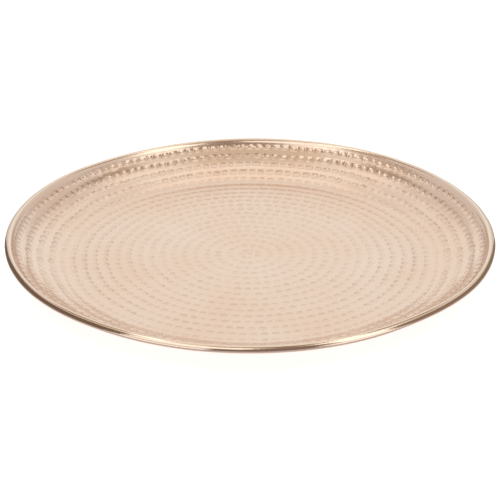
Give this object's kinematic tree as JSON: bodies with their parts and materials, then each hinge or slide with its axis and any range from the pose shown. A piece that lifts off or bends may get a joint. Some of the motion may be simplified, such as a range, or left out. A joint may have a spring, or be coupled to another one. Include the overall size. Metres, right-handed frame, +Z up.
{
  "type": "hammered serving tray",
  "caption": "Round shallow copper serving tray with a hammered floor and sloping wall, and a plain rim rolled over a wire.",
  "frame": {"origin": "centre of the floor's underside, the flat disc that the tray rests on", "axes": "+Z up, out of the open top of the tray, along its axis of revolution; the tray is round, so +X and +Y only fix the start of the hammer rows and of the wire's joint"},
  "size_m": [0.3999, 0.4, 0.0255],
  "materials": {
    "hammered_copper": "pale rose copper, satin where it is hammered and polished on the rolled rim",
    "steel_wire": "drawn iron wire, dull grey"
  },
  "bodies": {
    "root": {"hammered_sheet": "hammered_copper", "rim_wire": "steel_wire"}
  },
  "joints": []
}
